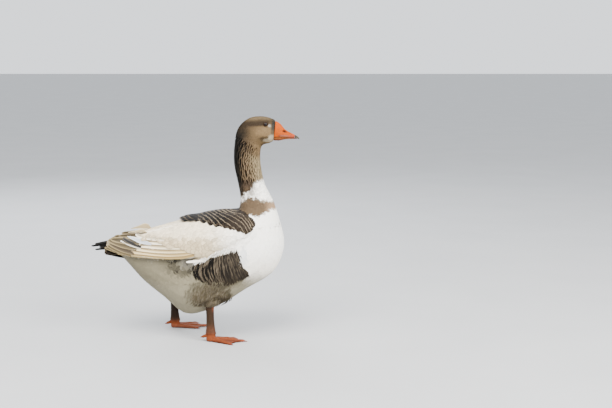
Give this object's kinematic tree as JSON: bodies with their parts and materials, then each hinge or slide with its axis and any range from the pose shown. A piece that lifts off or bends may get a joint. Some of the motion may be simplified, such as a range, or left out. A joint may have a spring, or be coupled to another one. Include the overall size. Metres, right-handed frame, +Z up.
{
  "type": "domestic goose",
  "caption": "Pied domestic goose standing as a life-size still model, with a furrowed neck, folded wings, a short tail and webbed feet, one set ahead of the other.",
  "frame": {"origin": "middle of the bounding box in plan, on the floor under the goose", "axes": "+X towards the bill, +Y towards the goose's left side, +Z up"},
  "size_m": [0.5998, 0.2706, 0.6294],
  "materials": {
    "white_plumage": "soft overlapping contour feathers, matt",
    "neck_plumage": "short brown feathers laid in furrows, matt",
    "head_plumage": "very short dense brown feathers, matt",
    "wing_plumage": "broad flat feathers with pale edges, slight sheen",
    "quills": "stiff black flight feathers, slight sheen",
    "tail_plumage": "dark grey-brown tail feathers with pale tips",
    "bill": "orange horny skin, satin",
    "nail": "grey horn, satin",
    "eye": "dark brown eye, wet and glossy",
    "leg_skin": "orange scaled skin, satin, soiled",
    "claw": "grey-brown horn"
  },
  "bodies": {
    "root": {"trunk": "white_plumage", "neck_lower": "neck_plumage", "neck_upper": "neck_plumage", "head": "head_plumage", "tail": "tail_plumage", "bill_upper": "bill", "bill_lower": "bill", "bill_nail": "nail", "wing_left": "wing_plumage", "primaries_left": "quills", "eye_left": "eye", "thigh_left": "white_plumage", "shank_left": "leg_skin", "foot_left": "leg_skin", "hind_toe_left": "leg_skin", "claw_left_inner": "claw", "claw_left_middle": "claw", "claw_left_outer": "claw", "claw_left_hind": "claw", "wing_right": "wing_plumage", "primaries_right": "quills", "eye_right": "eye", "thigh_right": "white_plumage", "shank_right": "leg_skin", "foot_right": "leg_skin", "hind_toe_right": "leg_skin", "claw_right_inner": "claw", "claw_right_middle": "claw", "claw_right_outer": "claw", "claw_right_hind": "claw"}
  },
  "joints": []
}
